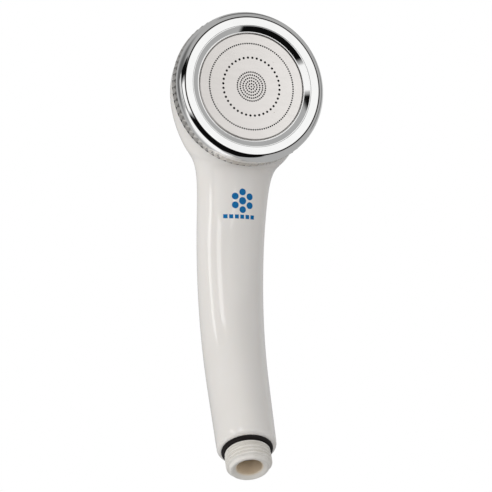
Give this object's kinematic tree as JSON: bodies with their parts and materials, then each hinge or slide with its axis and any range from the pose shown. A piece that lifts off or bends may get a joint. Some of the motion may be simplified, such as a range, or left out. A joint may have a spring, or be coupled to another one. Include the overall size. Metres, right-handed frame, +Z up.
{
  "type": "handheld shower head",
  "caption": "Curved-handle hand shower: round head with a perforated metal spray plate, screw-on face ring with a faceted grip band, and a male hose thread.",
  "frame": {"origin": "centre of the hose inlet's flat end face, on the thread's axis", "axes": "+Z up the inlet axis into the handle, -Y the side the spray plate faces, X across the head, symmetric about X = 0"},
  "size_m": [0.071, 0.0945, 0.2062],
  "materials": {
    "white_abs": "glossy injection-moulded ABS",
    "black_abs": "matt moulded ABS",
    "chrome": "bright chrome plate on plastic",
    "stainless_steel": "satin stainless steel",
    "black_rubber": "matt black EPDM rubber",
    "grey_pom": "matt moulded plastic",
    "natural_polyethylene": "matt extruded plastic",
    "blue_pom": "matt moulded plastic"
  },
  "bodies": {
    "handle_assembly": {"body_shell": "white_abs", "chamber_cup": "black_abs", "elbow_pipe": "grey_pom", "elbow_o_ring": "black_rubber", "tube_coupler": "grey_pom", "coupler_o_ring_upper": "black_rubber", "coupler_o_ring_lower": "black_rubber", "water_tube": "natural_polyethylene", "nipple_o_ring": "black_rubber", "inlet_nipple": "white_abs", "inlet_o_ring": "black_rubber", "flow_regulator_body": "blue_pom", "flow_regulator_ring": "black_rubber", "screen_frame": "grey_pom", "inlet_screen": "stainless_steel", "distributor_disc": "black_abs", "distributor_seal": "black_rubber", "centre_screw": "stainless_steel", "screw_washer": "stainless_steel"},
    "spray_insert": {"spray_plate": "stainless_steel", "plate_gasket": "black_rubber"},
    "screw_ring": {"face_ring": "chrome", "grip_ring": "chrome"}
  },
  "joints": [
    {"name": "insert_slide", "type": "slide", "parent": "handle_assembly", "child": "spray_insert", "axis": [0, -0.8988, -0.4384], "range_m": [0, 0.0045]},
    {"name": "ring_unscrew", "type": "hinge", "parent": "spray_insert", "child": "screw_ring", "pos_m": [0, -0.0648, 0.1685], "axis": [0, -0.8988, -0.4384], "range_deg": [0, 540]}
  ],
  "couplings": [
    {"joint": "insert_slide", "follows": "ring_unscrew", "m_per_rad": 0.00047746}
  ]
}
